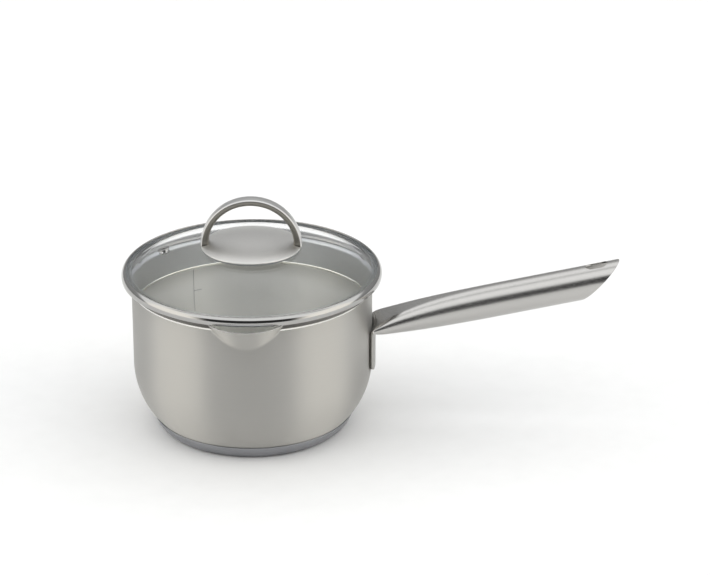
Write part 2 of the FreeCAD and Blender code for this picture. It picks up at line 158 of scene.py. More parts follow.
def rounded(corners, steps=6):
    """An outline with rounded corners, from corners (x, y, radius).  Its two ends stay as given."""
    points = []
    for number, (x, y, radius) in enumerate(corners):
        here = Vector((x, y))
        if radius == 0 or number in (0, len(corners) - 1):
            points.append(here)
            continue
        back = Vector(corners[number - 1][:2]) - here
        ahead = Vector(corners[number + 1][:2]) - here
        reach = radius / math.tan(back.angle(ahead) / 2)
        reach = min(reach, 0.49 * back.length, 0.49 * ahead.length)
        start = here + back.normalized() * reach
        stop = here + ahead.normalized() * reach
        for step in range(steps + 1):
            share = step / steps
            points.append(start * (1 - share) ** 2 + here * 2 * share * (1 - share) + stop * share ** 2)
    return points


def arc(start, stop, radius, side, steps):
    """Points from start to stop along an arc that bulges to the left (+1) or right (-1)."""
    start, stop = Vector(start), Vector(stop)
    chord = stop - start
    left = Vector((-chord.y, chord.x)).normalized() * side
    centre = (start + stop) / 2 - left * math.sqrt(radius ** 2 - chord.length ** 2 / 4)
    first = math.atan2(*(start - centre).yx)
    turn = 2 * math.asin(chord.length / 2 / radius) * -side
    angles = [first + turn * n / steps for n in range(steps + 1)]
    return [centre + radius * Vector((math.cos(angle), math.sin(angle))) for angle in angles]


def spread(start, stop, steps):
    """Points along a straight line, both ends included."""
    start, stop = Vector(start), Vector(stop)
    return [start.lerp(stop, n / steps) for n in range(steps + 1)]


def lay_grain(mesh, count, strips):
    """A UV map whose U runs along each row and V from row to row: it steers the brushing."""
    grain = mesh.uv_layers.new(name="grain")
    values = []
    for strip in range(strips):
        for n in range(count):
            for u, v in ((n, strip), (n + 1, strip), (n + 1, strip + 1), (n, strip + 1)):
                values += [u / count, v / strips]
    grain.data.foreach_set("uv", values)


def build(name, rows, materials, paint=None, loop=False, sharp=SHARP_ANGLE, caps=False):
    """A skin over rows of points, each row a closed ring.  paint(strip, n) gives each face's material,
    and loop joins the last row to the first."""
    count = len(rows[0])
    vertices = [point for row in rows for point in row]
    strips = len(rows) if loop else len(rows) - 1
    faces = []
    for strip in range(strips):
        low = strip * count
        high = (strip + 1) % len(rows) * count
        for n in range(count):
            after = (n + 1) % count
            faces.append((low + n, low + after, high + after, high + n))
    mesh = bpy.data.meshes.new(name)
    mesh.from_pydata(vertices, [], faces)
    for made in materials:
        mesh.materials.append(made)
    if paint:
        mesh.polygons.foreach_set("material_index", [paint(n // count, n % count) for n in range(len(faces))])
    lay_grain(mesh, count, strips)
    return tidy(name, mesh, sharp, caps)


def tidy(name, mesh, sharp=SHARP_ANGLE, caps=False):
    """Merges the points at poles, turns the faces outward, smooths them and makes the object."""
    work = bmesh.new()
    work.from_mesh(mesh)
    bmesh.ops.remove_doubles(work, verts=work.verts, dist=1e-7)
    if caps:
        bmesh.ops.holes_fill(work, edges=work.edges, sides=0)
    bmesh.ops.recalc_face_normals(work, faces=work.faces)
    work.to_mesh(mesh)
    work.free()
    mesh.polygons.foreach_set("use_smooth", [True] * len(mesh.polygons))
    mesh.set_sharp_from_angle(angle=math.radians(sharp))
    piece = bpy.data.objects.new(name, mesh)
    bpy.context.scene.collection.objects.link(piece)
    return piece


def lathe(name, outline, materials, paint=None, loop=False, segments=256):
    """Turns an outline of (radius, height) points about the Z axis."""
    rows = []
    for radius, height in outline:
        rows.append([(radius * math.cos(TAU * n / segments), radius * math.sin(TAU * n / segments), height)
                     for n in range(segments)])
    return build(name, rows, materials, paint, loop)


def prism(name, rows):
    """A closed prism between two rings of points, for use as a cutter."""
    count = len(rows[0])
    mesh = bpy.data.meshes.new(name)
    faces = [(n, (n + 1) % count, count + (n + 1) % count, count + n) for n in range(count)]
    mesh.from_pydata(rows[0] + rows[1], [], faces)
    return tidy(name, mesh, caps=True)


def cut(piece, cutter):
    """Takes the cutter's volume out of a piece."""
    modifier = piece.modifiers.new("cut", "BOOLEAN")
    modifier.operation = "DIFFERENCE"
    modifier.solver = "EXACT"
    modifier.object = cutter
    bpy.context.view_layer.update()
    shape = bpy.data.meshes.new_from_object(piece.evaluated_get(bpy.context.evaluated_depsgraph_get()))
    piece.modifiers.clear()
    piece.data = shape
    bpy.data.objects.remove(cutter)
    shape.set_sharp_from_angle(angle=math.radians(SHARP_ANGLE))


def place(piece, body, slot, *nodes):
    """Hands a finished piece to the frame: its body, and the CAD nodes it stands for, which it hides.  slot,
    its finish, is not used.
    """
    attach(piece, body)
    if nodes:
        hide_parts(*nodes)
    return piece


# ---------------------------------------------------------------- materials


class Shader:
    """A node material with its Principled shader, and short ways to add nodes to it."""

    def __init__(self, name):
        self.made = bpy.data.materials.new(name)
        self.made.use_nodes = True
        self.nodes = self.made.node_tree.nodes
        self.links = self.made.node_tree.links
        self.shader = self.nodes["Principled BSDF"]

    def add(self, kind, **settings):
        node = self.nodes.new(kind)
        for key, value in settings.items():
            setattr(node, key, value)
        return node

    def join(self, source, target):
        self.links.new(source, target)

    def maths(self, operation, first, second=None):
        node = self.add("ShaderNodeMath", operation=operation)
        for socket, value in zip(node.inputs, (first, second)):
            if value is None:
                continue
            if isinstance(value, (int, float)):
                socket.default_value = value
            else:
                self.join(value, socket)
        return node.outputs[0]

    def noise(self, vector, scale, detail=4, rough=0.55):
        node = self.add("ShaderNodeTexNoise")
        node.inputs["Scale"].default_value = scale
        node.inputs["Detail"].default_value = detail
        node.inputs["Roughness"].default_value = rough
        self.join(vector, node.inputs["Vector"])
        return node.outputs["Fac"]

    def ramp(self, value, low, high, start=0.3, stop=0.7):
        """Maps a value from start..stop to low..high."""
        node = self.add("ShaderNodeMapRange")
        node.inputs["From Min"].default_value = start
        node.inputs["From Max"].default_value = stop
        node.inputs["To Min"].default_value = low
        node.inputs["To Max"].default_value = high
        self.join(value, node.inputs["Value"])
        return node.outputs["Result"]

    def tint(self, value, dark, light, start=0.3, stop=0.7):
        """A colour between two, by a value."""
        node = self.add("ShaderNodeValToRGB")
        node.color_ramp.elements[0].position = start
        node.color_ramp.elements[0].color = (*dark, 1)
        node.color_ramp.elements[1].position = stop
        node.color_ramp.elements[1].color = (*light, 1)
        self.join(value, node.inputs["Fac"])
        return node.outputs["Color"]

    def bump(self, height, distance, strength=1.0):
        node = self.add("ShaderNodeBump")
        node.inputs["Distance"].default_value = distance
        node.inputs["Strength"].default_value = strength
        self.join(height, node.inputs["Height"])
        self.join(node.outputs["Normal"], self.shader.inputs["Normal"])

    def place(self):
        return self.add("ShaderNodeTexCoord").outputs["Object"]

    def round_place(self, along, across):
        """Coordinates for marks that run round the Z axis: slow along them, quick across."""
        parts = self.add("ShaderNodeSeparateXYZ")
        self.join(self.place(), parts.inputs[0])
        x, y, z = parts.outputs
        squares = self.maths("ADD", self.maths("MULTIPLY", x, x), self.maths("MULTIPLY", y, y))
        radius = self.maths("SQRT", squares)
        safe = self.maths("MAXIMUM", radius, 0.5 * MM)
        flat_share = 0.83
        rise = self.maths("ADD", z, self.maths("MULTIPLY", radius, flat_share))
        joined = self.add("ShaderNodeCombineXYZ")
        self.join(self.maths("MULTIPLY", self.maths("DIVIDE", x, safe), along), joined.inputs[0])
        self.join(self.maths("MULTIPLY", self.maths("DIVIDE", y, safe), along), joined.inputs[1])
        self.join(self.maths("MULTIPLY", rise, across), joined.inputs[2])
        return joined.outputs[0]

    def row_place(self, along, across):
        """Coordinates for marks that run from row to row of the mesh."""
        scaled = self.add("ShaderNodeMapping")
        scaled.inputs["Scale"].default_value = (across, along, 1)
        self.join(self.add("ShaderNodeUVMap", uv_map="grain").outputs["UV"], scaled.inputs["Vector"])
        return scaled.outputs[0]

    def long_place(self, along, across, lean=0.0):
        """Coordinates for marks that run along a leaning X axis."""
        turned = self.add("ShaderNodeMapping")
        turned.inputs["Rotation"].default_value = (0, lean, 0)
        turned.inputs["Scale"].default_value = (along, across, across)
        self.join(self.place(), turned.inputs["Vector"])
        return turned.outputs[0]


def steel(name, colour, rough, grain, depth=2e-6, spread_rough=0.05, stretch=0.0, across=True, warm=0.03):
    """Stainless steel.  grain(shader) gives the coordinates that its brushing follows.  stretch is how
    far the brushing draws a highlight out, across the rows of the mesh or along them."""
    make = Shader(name)
    shader = make.shader
    shader.inputs["Metallic"].default_value = 1.0
    shader.inputs["Anisotropic"].default_value = stretch
    shader.inputs["Anisotropic Rotation"].default_value = 0.25 if across else 0.0
    vector = grain(make)
    fine = make.noise(vector, 1.0, 6, 0.75)
    patch = make.noise(make.place(), 30.0, 3)
    dark = tuple(c * (1 - warm) for c in colour)
    light = tuple(min(1, c * (1 + warm)) for c in colour)
    mixed = make.maths("ADD", make.maths("MULTIPLY", fine, 0.75), make.maths("MULTIPLY", patch, 0.25))
    make.join(make.tint(mixed, dark, light, 0.35, 0.65), shader.inputs["Base Color"])
    make.join(make.ramp(mixed, rough - spread_rough, rough + spread_rough), shader.inputs["Roughness"])
    make.bump(fine, depth)
    if stretch:
        tangent = make.add("ShaderNodeTangent", direction_type="UV_MAP", uv_map="grain")
        make.join(tangent.outputs[0], shader.inputs["Tangent"])
    return make.made


def glass(name, dark=(0.975, 0.985, 0.985), light=(0.985, 0.992, 0.995), rough=0.0):
    """Tempered glass with a faint cool cast and a few soft smears."""
    make = Shader(name)
    shader = make.shader
    shader.inputs["Transmission Weight"].default_value = 1.0
    shader.inputs["IOR"].default_value = 1.5
    smear = make.noise(make.place(), 45.0, 3)
    make.join(make.tint(smear, dark, light), shader.inputs["Base Color"])
    make.join(make.ramp(smear, rough, rough + 0.02, 0.45, 0.75), shader.inputs["Roughness"])
    return make.made


def silicone(name, colour):
    """Matt silicone rubber with a dusty bloom."""
    make = Shader(name)
    shader = make.shader
    bloom = make.noise(make.place(), 400.0, 5)
    dark = tuple(c * 0.85 for c in colour)
    light = tuple(c * 1.12 for c in colour)
    make.join(make.tint(bloom, dark, light), shader.inputs["Base Color"])
    make.join(make.ramp(bloom, 0.5, 0.7), shader.inputs["Roughness"])
    make.bump(bloom, 0.00003)
    return make.made


BODY_STEEL = steel("body_steel", (0.53, 0.52, 0.495), 0.50, lambda m: m.round_place(2.2, 2600), stretch=0.93)
# Painted shade: neck_shade is the body's steel made nearly black on the outer flare above NECK_SHADE_Z. It
# stands for the shadow gap under the lid's ring.
NECK_SHADE = steel("neck_shade", (0.13, 0.125, 0.12), 0.34, lambda m: m.round_place(3, 1500), 1e-7)
# Painted highlight, partly: neck_highlight_steel is smoother steel, which is real, but its colour is raised
# far above the body's to draw the bright line along the neck fillet under the ring.
NECK_HIGHLIGHT_STEEL = steel("neck_highlight_steel", (0.86, 0.85, 0.82), 0.25, lambda m: m.round_place(3, 1500), 1e-7)
# Painted light, partly: the pan's inside finishes are the same drawn sheet as body_steel, but their colours
# are raised far above its colour to stand in for light that reaches into the pan under the glass. Their
# polished band and their brushing are real finishes.
INNER_BRUSHED = steel("inner_brushed", (0.91, 0.90, 0.855), 0.48, lambda m: m.round_place(2.2, 2600),
                      stretch=0.92)
INNER_SMOOTH = steel("inner_smooth", (0.865, 0.885, 0.915), 0.36, lambda m: m.round_place(3, 900), 5e-7)
INNER_FLOOR = steel("inner_floor", (0.78, 0.77, 0.73), 0.42, lambda m: m.round_place(2.2, 2600), stretch=0.8)
LEDGE_STEEL = steel("ledge_steel", (0.95, 0.94, 0.86), 0.2, lambda m: m.round_place(3, 900), 1e-7)
RIM_STEEL = steel("rim_steel", (0.42, 0.415, 0.405), 0.09, lambda m: m.round_place(6, 600), 1e-7, 0.02)
BASE_STEEL = steel("base_steel", (0.35, 0.355, 0.375), 0.36, lambda m: m.round_place(2.2, 2000), stretch=0.85)
TUBE_STEEL = steel("tube_steel", (0.50, 0.49, 0.475), 0.24, lambda m: m.long_place(25, 2200, TUBE_RISE), 1e-6,
                   stretch=0.6, across=False)
TUBE_INSIDE = steel("tube_inside", (0.42, 0.41, 0.39), 0.50, lambda m: m.long_place(60, 700, TUBE_RISE),
                    3e-6)
KNOB_STEEL = steel("knob_steel", (0.72, 0.71, 0.69), 0.40, lambda m: m.round_place(3, 1500), 1e-7, 0.03)
BOW_STEEL = steel("bow_steel", (0.62, 0.615, 0.605), 0.36, lambda m: m.row_place(6, 260), 1e-7, 0.03)
# Painted reflection: bow_dark_reflection is the bow's own steel made far darker on its sides and underside.
# It stands for the dark reflections seen there.
BOW_DARK_REFLECTION = steel("bow_dark_reflection", (0.23, 0.22, 0.195), 0.30, lambda m: m.row_place(6, 260), 1e-7, 0.03)
FIXING_STEEL = steel("fixing_steel", (0.60, 0.60, 0.60), 0.22, lambda m: m.long_place(400, 400), 1e-6)
LID_GLASS = glass("clear_glass")
EDGE_GLASS = glass("edge_glass", (0.90, 0.94, 0.96), (0.93, 0.96, 0.98), 0.22)
GREY_SILICONE = silicone("grey_silicone", (0.30, 0.31, 0.32))
INK = silicone("etched_mark", (0.27, 0.27, 0.25))

# ---------------------------------------------------------------- pan

BELLY_ARC = ((BELLY_Z - SEAM_Z) ** 2 + (BODY_R - SEAM_R) ** 2) / (2 * (BODY_R - SEAM_R))
FLARE = (RIM_R - BODY_R) / (RIM_Z - NECK_Z)
RIM_IN_R = RIM_R - WALL * math.hypot(1, FLARE)
NECK_IN_Z = RIM_Z - (RIM_IN_R - BODY_R + WALL) / FLARE
SPOUT_WALL = WALL * math.hypot(1, (SPOUT_REACH - BODY_R) / (RIM_Z - SPOUT_LOW_Z))


def spout_radius(bearing, height, inset):
    """How far the spout's oblique cone reaches from the axis, in a direction and at a height."""
    share = (height - SPOUT_LOW_Z) / (RIM_Z - SPOUT_LOW_Z)
    radius = SPOUT_LOW_R + (SPOUT_TOP_R - SPOUT_LOW_R) * share - inset
    low = BODY_R - 0.3 * MM - SPOUT_LOW_R
    centre = low + (SPOUT_REACH - SPOUT_TOP_R - low) * share
    across = centre * math.sin(bearing)
    if share < -0.1 or abs(across) >= radius or math.cos(bearing) < 0:
        return 0
    return centre * math.cos(bearing) + math.sqrt(radius ** 2 - across ** 2)


def make_pan():
    """The drawn shell: up the outside, over the rim and down the inside, with the spout pressed out."""
    seam_in_z = SEAM_Z + 0.9 * WALL
    seam_in_r = BODY_R - BELLY_ARC + math.sqrt((BELLY_ARC - WALL) ** 2 - (BELLY_Z - seam_in_z) ** 2)
    outside = spread((0, FLOOR_Z), (FLOOR_R, FLOOR_Z), 12)
    outside += arc((FLOOR_R, FLOOR_Z), (SEAM_R, SEAM_Z), HEEL, -1, 8)[1:]
    outside += arc((SEAM_R, SEAM_Z), (BODY_R, BELLY_Z), BELLY_ARC, -1, 36)[1:]
    outside += spread((BODY_R, BELLY_Z), (BODY_R, SPOUT_FROM_Z), 18)[1:]
    outside += spread((BODY_R, SPOUT_FROM_Z), (BODY_R, NECK_Z - 2 * MM), 16)[1:]
    outside += rounded([(BODY_R, NECK_Z - 1.9 * MM, 0), (BODY_R, NECK_Z, NECK_BEND),
                        (BODY_R + 2 * MM, NECK_Z + 2 * MM / FLARE, 0)], 8)[1:]
    lip_start = (RIM_R - 0.15 * MM, RIM_Z - 0.55 * MM)
    outside += spread(outside[-1], lip_start, 6)[1:]
    lip = rounded([lip_start + (0,), (RIM_R, RIM_Z - 0.1 * MM, RIM_SOFT),
                   (RIM_R - 0.5 * MM, RIM_Z, RIM_SOFT), (RIM_IN_R, RIM_Z - 0.25 * MM, RIM_SOFT),
                   (RIM_IN_R - 0.2 * MM, RIM_Z - 0.6 * MM, 0)], 4)[1:]
    inside = spread(lip[-1], (BODY_R - WALL + 2 * MM, NECK_IN_Z + 2 * MM / FLARE), 6)[1:]
    inside += rounded([tuple(inside[-1]) + (0,), (BODY_R - WALL, NECK_IN_Z, NECK_BEND),
                       (BODY_R - WALL, NECK_IN_Z - 2 * MM, 0)], 8)[1:]
    inside += spread(inside[-1], (BODY_R - WALL, LEDGE_TOP_Z), 14)[1:]
    ledge = rounded([(BODY_R - WALL, LEDGE_TOP_Z, 0),
                     (BODY_R - WALL - BEAD, LEDGE_Z + 0.15 * MM, 0.1 * MM),
                     (BODY_R - WALL + GROOVE, LEDGE_Z - 0.3 * MM, 0.3 * MM),
                     (BODY_R - WALL + GROOVE, LEDGE_Z - 1.2 * MM, 0)], 4)[1:]
    lower = spread(ledge[-1], (BODY_R - WALL, BELLY_Z), 20)[1:]
    lower += arc((BODY_R - WALL, BELLY_Z), (seam_in_r, seam_in_z), BELLY_ARC - WALL, 1, 36)[1:]
    lower += arc((seam_in_r, seam_in_z), (FLOOR_R, FLOOR_Z + WALL), HEEL - WALL, 1, 8)[1:]
    lower += spread((FLOOR_R, FLOOR_Z + WALL), (0, FLOOR_Z + WALL), 12)[1:]
    outline = outside + lip + inside + ledge + lower
    insets = [0] * len(outside) + [SPOUT_WALL * (n + 1) / len(lip) for n in range(len(lip))]
    insets += [SPOUT_WALL] * (len(outline) - len(insets))
    finishes = [BODY_STEEL, INNER_SMOOTH, INNER_BRUSHED, RIM_STEEL, NECK_HIGHLIGHT_STEEL, NECK_SHADE, LEDGE_STEEL,
                INNER_FLOOR]
    body, smooth, brushed, rim, neck, shade, step, floor = range(len(finishes))
    # The outer flare gets two painted bands under the lid's ring: a painted highlight line at the neck fillet
    # (neck) and a painted shade band above it (shade).
    shaded = sum(1 for point in outside if point[1] > NECK_SHADE_Z)
    polished = sum(1 for point in outside if point[1] > NECK_HIGHLIGHT_Z) - shaded
    sunk = sum(1 for point in lower if point[1] < SUNK_Z)
    bands = [body] * (len(outside) - 1 - polished - shaded) + [neck] * polished + [shade] * shaded
    bands += [rim] * len(lip) + [smooth] * len(inside) + [step] * len(ledge)
    bands += [brushed] * (len(outline) - 1 - len(bands) - sunk) + [floor] * sunk
    rows = []
    for (radius, height), inset in zip(outline, insets):
        row = []
        for n in range(PAN_SEGMENTS):
            angle = TAU * n / PAN_SEGMENTS
            bearing = angle + math.pi / 2
            reach = radius
            if height > SPOUT_FROM_Z:
                reach = blend_max(radius, spout_radius(bearing, height, inset), SPOUT_SOFT)
            row.append((reach * math.cos(angle), reach * math.sin(angle), height))
        rows.append(row)

    def finish(strip, n):
        """The neck's bands stop at the spout."""
        x, y = rows[strip][n][:2]
        on_spout = math.hypot(x, y) > outline[strip][0] + 0.4 * MM
        return body if on_spout and bands[strip] in (neck, shade) else bands[strip]

    pan = build("pan_body", rows, finishes, finish)
    place(pan, "pan", "pan_steel", "pan_shell")


def wall_radius(height):
    """The radius of the pan's inner wall, brushed part, at a height."""
    if height >= BELLY_Z:
        return BODY_R - WALL
    return BODY_R - BELLY_ARC + math.sqrt((BELLY_ARC - WALL) ** 2 - (BELLY_Z - height) ** 2)


def fill_height(litres):
    """How high a volume of water stands in the pan."""
    step = 0.1 * MM
    height = FLOOR_Z + WALL
    held = 0
    while held < litres * LITRE:
        radius = wall_radius(max(height, SEAM_Z + WALL))
        held += math.pi * radius ** 2 * step
        height += step
    return height


def make_marks():
    """A volume scale etched into the inner wall: one upright line with a tick every half litre."""
    line, tick = 0.25 * MM, 6 * MM
    bottom, top = 16 * MM, LEDGE_Z - 1.6 * MM
    bearing = math.radians(124)
    parts = [(0, line, bottom, top)]
    for litres in (0.5, 1.0):
        height = fill_height(litres)
        parts.append((line, tick, height - line, height))
    work = bmesh.new()
    for start, stop, low_z, high_z in parts:
        grid = []
        across = 2 + round((stop - start) / MM)
        rise = 2 + round((high_z - low_z) / (2 * MM))
        for proud in (0.06 * MM, -0.05 * MM):
            layer = []
            for row in range(rise + 1):
                height = low_z + (high_z - low_z) * row / rise
                reach = wall_radius(height) - proud
                turns = [bearing - (start + (stop - start) * n / across) / BODY_R for n in range(across + 1)]
                layer.append([work.verts.new((reach * math.cos(turn), reach * math.sin(turn), height))
                              for turn in turns])
            grid.append(layer)
        for layer in grid:
            for row in range(rise):
                for n in range(across):
                    work.faces.new((layer[row][n], layer[row][n + 1],
                                    layer[row + 1][n + 1], layer[row + 1][n]))
        edge = [(0, n) for n in range(across)] + [(row, across) for row in range(rise)]
        edge += [(rise, n) for n in range(across, 0, -1)] + [(row, 0) for row in range(rise, 0, -1)]
        for number, (row, n) in enumerate(edge):
            after = edge[(number + 1) % len(edge)]
            work.faces.new((grid[0][row][n], grid[0][after[0]][after[1]],
                            grid[1][after[0]][after[1]], grid[1][row][n]))
    mesh = bpy.data.meshes.new("marks")
    work.to_mesh(mesh)
    work.free()
    mesh.materials.append(INK)
    place(tidy("volume_marks", mesh), "pan", "pan_steel")


def make_base():
    """The cap over the base: a cup whose edge stands a little proud of the belly."""
    edge = 0.35 * MM
    seam_foot = (CAP_EDGE_R - SEAM_STEP, SEAM_Z - 1 * MM)
    outline = spread((0, CAP_LOW.z), (CAP_FLAT_R, CAP_LOW.z), 8)
    heel = arc((CAP_FOOT_R, 0), (CAP_EDGE_R, SEAM_Z), CAP_HEEL, -1, 10)
    outline += rounded([(CAP_FLAT_R, 0, 0), (CAP_FOOT_R, 0, 2 * MM), tuple(heel[3]) + (0,)])[1:]
    outline += heel[4:-1]
    outline += rounded([tuple(outline[-1]) + (0,), (CAP_EDGE_R, SEAM_Z, edge),
                        (CAP_EDGE_R - CAP_SHEET, SEAM_Z, edge), seam_foot + (0,)])[1:]
    outline += arc(seam_foot, (CAP_FOOT_R, CAP_SHEET), CAP_HEEL, 1, 8)[1:]
    outline += spread((CAP_FOOT_R, CAP_SHEET), (0, CAP_SHEET), 6)[1:]
    cap = lathe("base_capsule", outline, [BASE_STEEL])
    place(cap, "pan", "base_steel", "base_cap")


# ---------------------------------------------------------------- handle


def stadium(flat, height, count):
    """Points round a section of two flats and two half circles, evenly spaced: (across, up)."""
    half = math.pi * height / 2
    girth = 2 * flat + 2 * half
    points = []
    for n in range(count):
        run = girth * n / count
        if run < flat / 2:
            points.append((run, height / 2))
        elif run < flat / 2 + half:
            turn = (run - flat / 2) / (height / 2)
            points.append((flat / 2 + height / 2 * math.sin(turn), height / 2 * math.cos(turn)))
        elif run < flat * 1.5 + half:
            points.append((flat - (run - flat / 2 - half) - flat / 2, -height / 2))
        elif run < flat * 1.5 + 2 * half:
            turn = (run - flat * 1.5 - half) / (height / 2)
            points.append((-flat / 2 - height / 2 * math.sin(turn), -height / 2 * math.cos(turn)))
        else:
            points.append((run - girth, height / 2))
    return points


def crushed(run):
    """The tube's section at a distance from the fold: its flat and its height."""
    share = -blend_max(-math.sqrt(run / CRUSH), -1, 0.3)
    height = FOLD_THICK + (2 * TUBE_R - FOLD_THICK) * share
    return (math.pi * (2 * TUBE_R - height)) / 2, height


def hug(point, share):
    """Bends a flat section round the pan's wall: share 1 follows the wall, and 0 stays flat."""
    turn = point.y / FOLD.x
    bent = Vector((point.x * math.cos(turn), point.x * math.sin(turn), point.z))
    return point.lerp(bent, share)


def make_handle():
    """The handle: a weld plate on the wall, a fold, a crushed stretch and a round tube with a slot."""
    count = 168
    plate_edge = 0.2 * MM
    fold_steps = 6
    crush_steps = 60
    round_steps = 72
    inner_steps = 40
    along = Vector((math.cos(TUBE_RISE), 0, math.sin(TUBE_RISE)))
    up = Vector((-math.sin(TUBE_RISE), 0, math.cos(TUBE_RISE)))
    side = Vector((0, 1, 0))

    def ring(origin, section, lift, share=0.0):
        """One row: a section at a point along the handle, with its height along lift."""
        return [hug(origin + side * across + lift * height, share) for across, height in section]

    rows = []
    # the weld plate, from its rounded lower end up to the fold
    plate_low = FOLD.z - PLATE_LENGTH
    for run in [0, 0.15, 0.5, 1, 2, 3.2, 4.6, 6, 10, 15, 20, 25, 27]:
        run *= MM
        inset = 0
        if run < STRAP_CORNER:
            inset = STRAP_CORNER - math.sqrt(STRAP_CORNER ** 2 - (STRAP_CORNER - run) ** 2)
        thick = FOLD_THICK * (1 - 0.5 * math.exp(-run / plate_edge))
        wide = STRAP_WIDTH - 2 * inset - FOLD_THICK
        origin = Vector((FOLD.x, 0, plate_low + run))
        rows.append(ring(origin, stadium(wide, thick, count), Vector((-1, 0, 0)), 1))
    plate_rows = len(rows)
    # the fold
    bend = 1.6 * MM
    turn = math.pi / 2 - TUBE_RISE
    start = FOLD - Vector((0, 0, bend * math.tan(turn / 2)))
    centre = start + Vector((bend, 0, 0))
    flat, height = crushed(0)
    for n in range(fold_steps + 1):
        angle = turn * n / fold_steps
        arm = Vector((-math.cos(angle), 0, math.sin(angle)))
        wide = STRAP_WIDTH - FOLD_THICK + (flat - STRAP_WIDTH + FOLD_THICK) * n / fold_steps
        rows.append(ring(centre + arm * bend, stadium(wide, height, count), arm, 1))
    # the crushed stretch
    first = (rows[-1][0] - FOLD).dot(along)
    flatten = 16 * MM
    for n in range(1, crush_steps + 1):
        run = first + (ROUND_FROM - first) * (n / crush_steps) ** 2
        share = max(0, 1 - run / flatten) ** 2
        section = stadium(*crushed(run - first * (1 - n / crush_steps)), count)
        rows.append(ring(FOLD + along * run, section, up, share))

    def tube_rows(radius, steps, backset):
        """Rows of the round stretch, up to its slanted end or a little short of it."""
        made = []
        section = [(radius * math.sin(TAU * n / count), radius * math.cos(TAU * n / count))
                   for n in range(count)]
        for share in steps:
            row = []
            for across, height in section:
                reach = TIP - END_SLANT * (1 - height / TUBE_R) / 2 - backset
                run = ROUND_FROM + (reach - ROUND_FROM) * share
                row.append(FOLD + along * run + side * across + up * height)
            made.append(row)
        return made

    steps = [n / round_steps for n in range(1, round_steps + 1)]
    edge = 0.25 * MM
    rows += tube_rows(TUBE_R, steps, edge)
    rows += tube_rows(TUBE_R - 0.6 * edge, [1], 0.3 * edge)
    rows += tube_rows(TUBE_R - edge * 1.5, [1], 0)
    rows += tube_rows(TUBE_R - TUBE_WALL + edge, [1], 0)
    outside = len(rows)
    rows += tube_rows(TUBE_R - TUBE_WALL, steps[::-1], edge)
    for n in range(inner_steps, 3, -1):
        run = ROUND_FROM * (n / inner_steps) ** 2
        flat, height = crushed(run)
        if height > 2.6 * TUBE_WALL:
            rows.append(ring(FOLD + along * run, stadium(flat, height - 2 * TUBE_WALL, count), up))

    def finish(strip, n):
        """Brushed like the body on the weld plate, and dull inside the tube."""
        if strip < plate_rows:
            return 2
        return int(strip >= outside)

    handle = build("handle_tube_skin", rows, [TUBE_STEEL, TUBE_INSIDE, BODY_STEEL], finish,
                   sharp=40, caps=True)
    # the hanging slot
    half_run = (SLOT_LENGTH - SLOT_WIDTH) / 2
    outline = []
    sides = 64
    for n in range(sides):
        turn = TAU * (n + 0.5) / sides
        shift = half_run if math.cos(turn) > 0 else -half_run
        outline.append((shift + SLOT_WIDTH / 2 * math.cos(turn), SLOT_WIDTH / 2 * math.sin(turn)))
    middle = FOLD + along * (TIP - SLOT_FROM_TIP)
    levels = [4 * MM, 20 * MM]
    cutter_rows = [[middle + along * x + side * y + up * level for x, y in outline] for level in levels]
    cut(handle, prism("slot_cutter", cutter_rows))
    place(handle, "pan", "handle_steel", "handle_tube")


# ---------------------------------------------------------------- lid


def dome_height(radius):
    """The height of the glass's upper face."""
    return GLASS_TOP - DOME_R + math.sqrt(DOME_R ** 2 - radius ** 2)


def dome_points(start, stop, steps, drop=0.0):
    """Points along the glass from one radius to another, at a depth below its upper face."""
    made = []
    for n in range(steps + 1):
        lean = math.asin(start / DOME_R) + (math.asin(stop / DOME_R) - math.asin(start / DOME_R)) * n / steps
        made.append(Vector(((DOME_R - drop) * math.sin(lean),
                            GLASS_TOP - DOME_R + (DOME_R - drop) * math.cos(lean))))
    return made


def vent_frame():
    """The vent's place: on the dome's upper face, with Z square to the glass."""
    lean = math.asin(VENT_REACH / DOME_R)
    foot = Vector((VENT_REACH * math.cos(VENT_BEARING), VENT_REACH * math.sin(VENT_BEARING),
                   dome_height(VENT_REACH)))
    return Matrix.Translation(foot) @ Matrix.Rotation(VENT_BEARING, 4, "Z") @ Matrix.Rotation(lean, 4, "Y")


def make_glass():
    """The domed pane with its flat edge, its centre hole and a hole for the vent."""
    top = dome_points(HOLE_R, DOME_EDGE_R - 5 * MM, 48)
    top += rounded([tuple(top[-1]) + (0,), (DOME_EDGE_R - 0.4 * MM, FLANGE_TOP, GLASS_BEND),
                    (DOME_EDGE_R + 2 * MM, FLANGE_TOP, 0)], 8)[1:]
    edge = rounded([(DOME_EDGE_R + 2 * MM, FLANGE_TOP, 0), (GLASS_R, FLANGE_TOP, 1.2 * MM),
                    (GLASS_R, GLASS_LOW.z, 1.2 * MM), (DOME_EDGE_R, GLASS_LOW.z, 0)], 6)[1:]
    under = dome_points(DOME_EDGE_R - 6.5 * MM, HOLE_R, 48, GLASS_THICK)
    bend = rounded([tuple(edge[-1]) + (0,), (DOME_EDGE_R - 1.6 * MM, GLASS_LOW.z, GLASS_BEND),
                    tuple(under[0]) + (0,)], 8)[1:-1]
    outline = top + edge + bend + under
    frosted_from = DOME_EDGE_R - 1.5 * MM
    pane = lathe("glass_dome", outline, [LID_GLASS, EDGE_GLASS],
                 lambda strip, n: int(outline[strip][0] > frosted_from), loop=True)
    sides = 48
    reach = 12 * MM
    rows = []
    for level in (-reach, reach):
        turns = [TAU * n / sides for n in range(sides)]
        rows.append([vent_frame() @ Vector((VENT_HOLE * math.cos(turn), VENT_HOLE * math.sin(turn), level))
                     for turn in turns])
    cut(pane, prism("drill", rows))
    place(pane, "lid", "lid_glass", "lid_glass")


